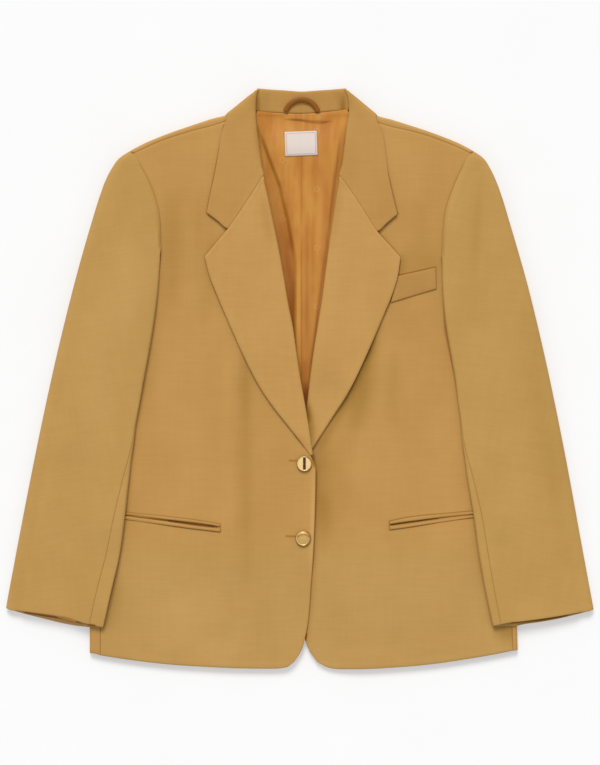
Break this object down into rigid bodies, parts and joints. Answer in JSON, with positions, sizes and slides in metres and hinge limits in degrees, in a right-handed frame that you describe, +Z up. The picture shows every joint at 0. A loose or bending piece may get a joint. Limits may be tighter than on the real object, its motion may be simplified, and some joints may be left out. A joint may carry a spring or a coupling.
{
  "type": "two-button blazer",
  "caption": "Single-breasted blazer laid flat, front up, with notched lapels, straight sleeves, jetted hip pockets, a breast welt and a curved front hem, worn on the upper body.",
  "frame": {"origin": "middle of the box's underside, on the surface that the back lies on", "axes": "+X to the wearer's left, across the sleeves; +Y from the hem to the collar; +Z up, out of the fronts"},
  "size_m": [0.764, 0.7536, 0.0236],
  "materials": {
    "shell_cloth": "fine camel wool weave, matt",
    "lining_satin": "golden orange satin with small pale flowers",
    "label_tape": "bare woven label",
    "loop_satin": "satin tube",
    "button_brass": "satin brass with a rim"
  },
  "bodies": {
    "root": {"back_left": "shell_cloth", "back_right": "shell_cloth", "front_left": "shell_cloth", "front_right": "shell_cloth", "top_sleeve_left": "shell_cloth", "top_sleeve_right": "shell_cloth", "under_sleeve_left": "shell_cloth", "under_sleeve_right": "shell_cloth", "lapel_left": "shell_cloth", "lapel_right": "shell_cloth", "collar": "shell_cloth", "breast_welt": "shell_cloth", "jet_upper_left": "shell_cloth", "jet_lower_left": "shell_cloth", "jet_upper_right": "shell_cloth", "jet_lower_right": "shell_cloth", "back_lining": "lining_satin", "sleeve_lining_right": "lining_satin", "label": "label_tape", "hanger_loop": "loop_satin", "button_upper": "button_brass", "button_lower": "button_brass"}
  },
  "joints": []
}
